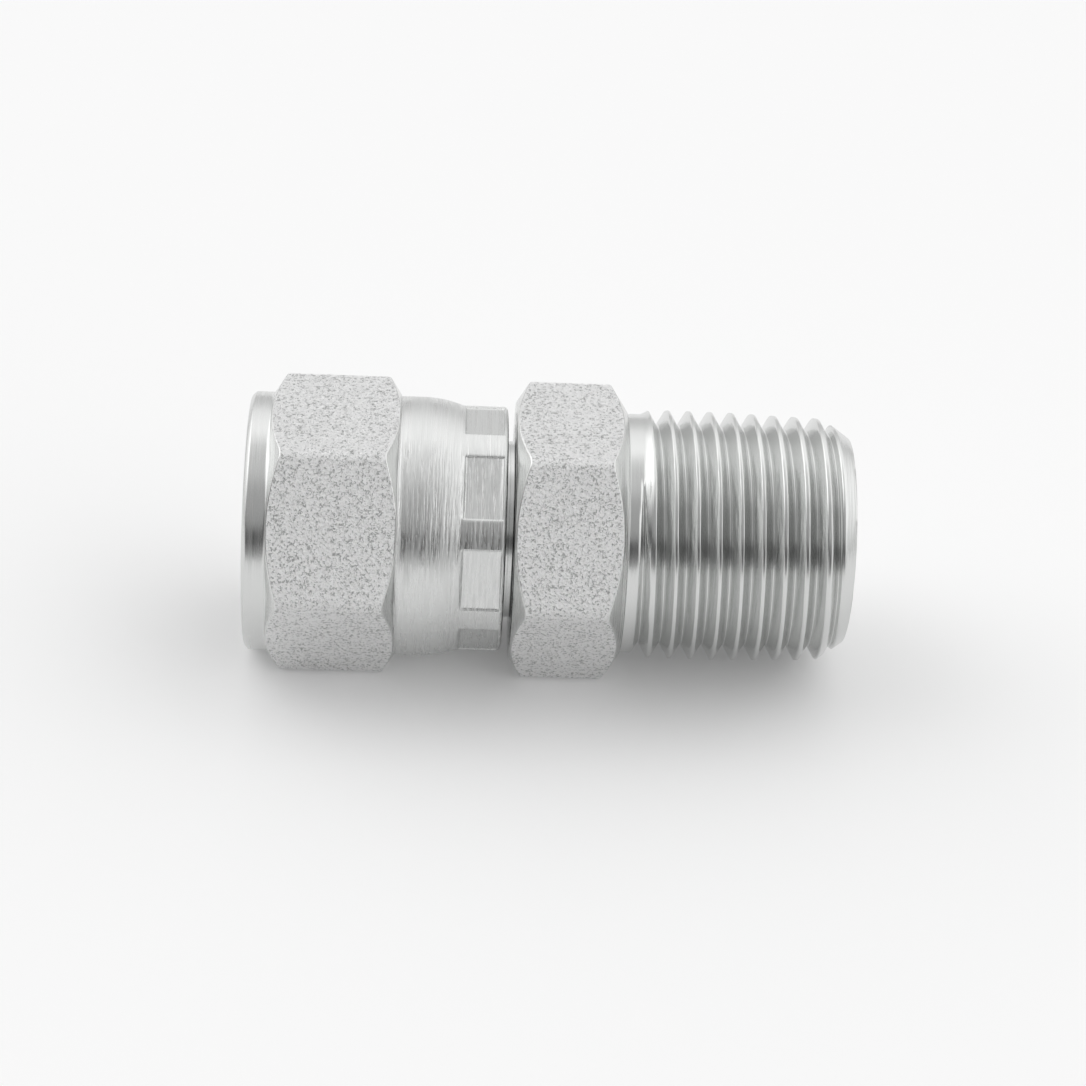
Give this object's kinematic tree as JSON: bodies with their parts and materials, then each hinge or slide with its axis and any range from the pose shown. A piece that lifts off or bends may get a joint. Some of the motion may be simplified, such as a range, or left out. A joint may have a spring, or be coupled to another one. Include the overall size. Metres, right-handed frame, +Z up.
{
  "type": "hydraulic swivel adapter",
  "caption": "Straight steel hydraulic adapter: tapered male pipe thread, wrench hexagon, and a crimped swivel nut with internal thread and 37 degree seat.",
  "frame": {"origin": "on the flow axis, in the face of the body's hexagon that the pipe thread starts from", "axes": "+X along the flow axis towards the pipe thread's end, +Z up, square to the hexagon flats that the part lies on"},
  "size_m": [0.0508, 0.0252, 0.0222],
  "materials": {
    "body_steel": "bright zinc plate",
    "nut_steel": "bright zinc plate"
  },
  "bodies": {
    "body": {"adapter_body": "body_steel"},
    "nut": {"swivel_nut": "nut_steel"}
  },
  "joints": [
    {"name": "nut_swivel", "type": "hinge", "parent": "body", "child": "nut", "pos_m": [-0.013, 0, 0], "axis": [1, 0, 0], "continuous": true}
  ]
}
